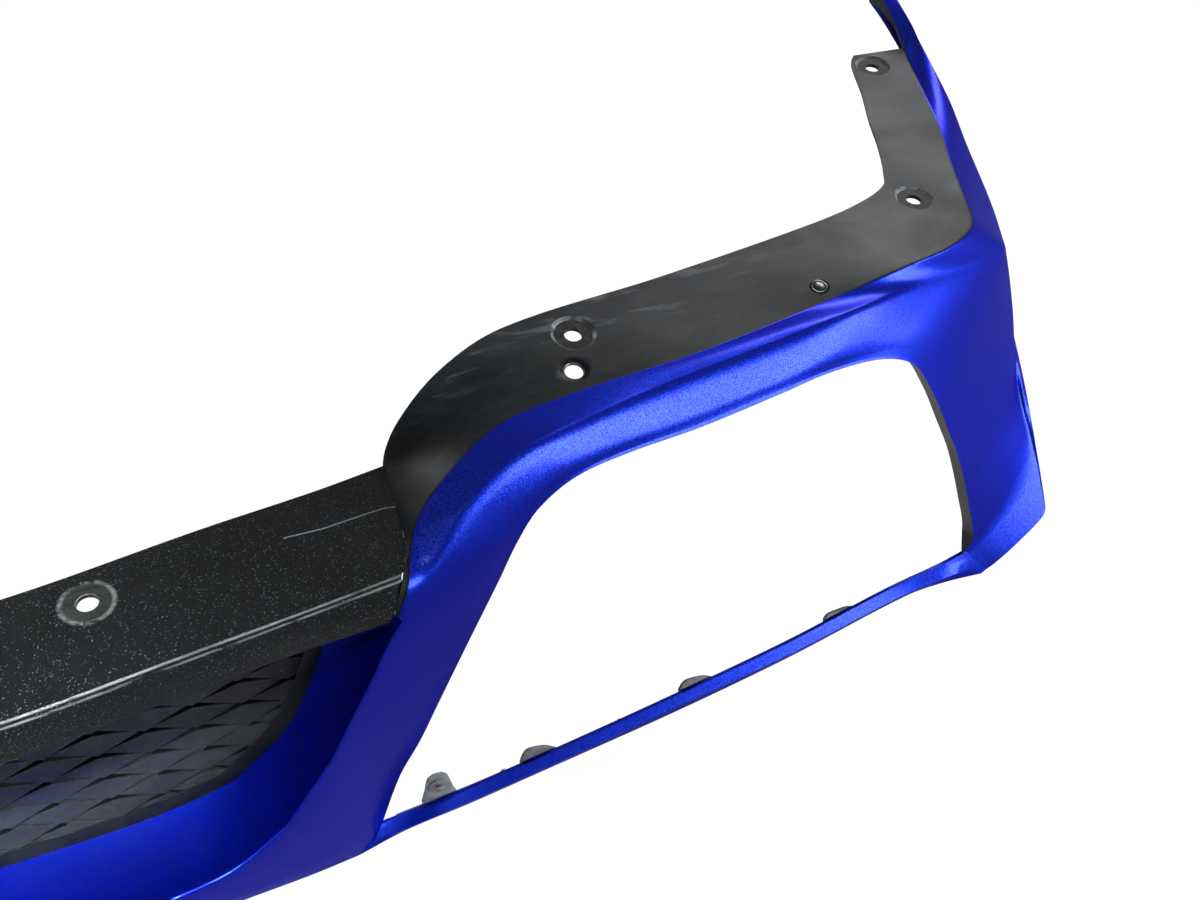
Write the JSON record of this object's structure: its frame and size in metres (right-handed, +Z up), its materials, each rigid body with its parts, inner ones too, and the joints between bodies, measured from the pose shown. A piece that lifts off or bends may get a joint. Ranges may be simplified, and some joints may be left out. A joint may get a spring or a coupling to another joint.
{
  "type": "front bumper lower cover",
  "caption": "Wide front bumper lower cover with two framed openings, swept side wings, a black centre bar over a closed diamond mesh grille, and bare mounting flanges.",
  "frame": {"origin": "centre of the bounding box in plan, at the level of the lowest edge of the lower strips", "axes": "+X towards the vehicle's left side, +Y rearwards, +Z up"},
  "size_m": [1.81, 0.462, 0.452],
  "materials": {
    "body_paint": "metallic clear-coated paint over moulded plastic, bare satin charcoal on the flange",
    "bar_black": "gloss black with fine silver flake, scuffed along its crease",
    "frame_black": "satin moulded black",
    "mesh_grey": "satin moulded dark grey",
    "carrier_grey": "moulded grey black, dusty",
    "grommet_grey": "moulded grey, worn rim",
    "clip_black": "moulded black",
    "screw_steel": "zinc plated screw"
  },
  "bodies": {
    "cover": {"bumper_skin": "body_paint", "centre_bar": "bar_black", "grille_frame": "frame_black", "grille_mesh": "mesh_grey", "grille_screws": "screw_steel", "bar_screws": "screw_steel", "bezel_carrier_left": "carrier_grey", "bezel_carrier_right": "carrier_grey", "carrier_screws_left": "screw_steel", "carrier_screws_right": "screw_steel", "tab_grommet_left": "grommet_grey", "tab_grommet_right": "grommet_grey", "flange_clip_left": "clip_black", "flange_clip_right": "clip_black"},
    "pin_left": {"clip_pin_left": "clip_black"},
    "pin_right": {"clip_pin_right": "clip_black"}
  },
  "joints": [
    {"name": "clip_pin_left_slide", "type": "slide", "parent": "cover", "child": "pin_left", "axis": [-0.0732, -0.3445, 0.9359], "range_m": [0, 0.005]},
    {"name": "clip_pin_right_slide", "type": "slide", "parent": "cover", "child": "pin_right", "axis": [0.0732, -0.3445, 0.9359], "range_m": [0, 0.005]}
  ]
}
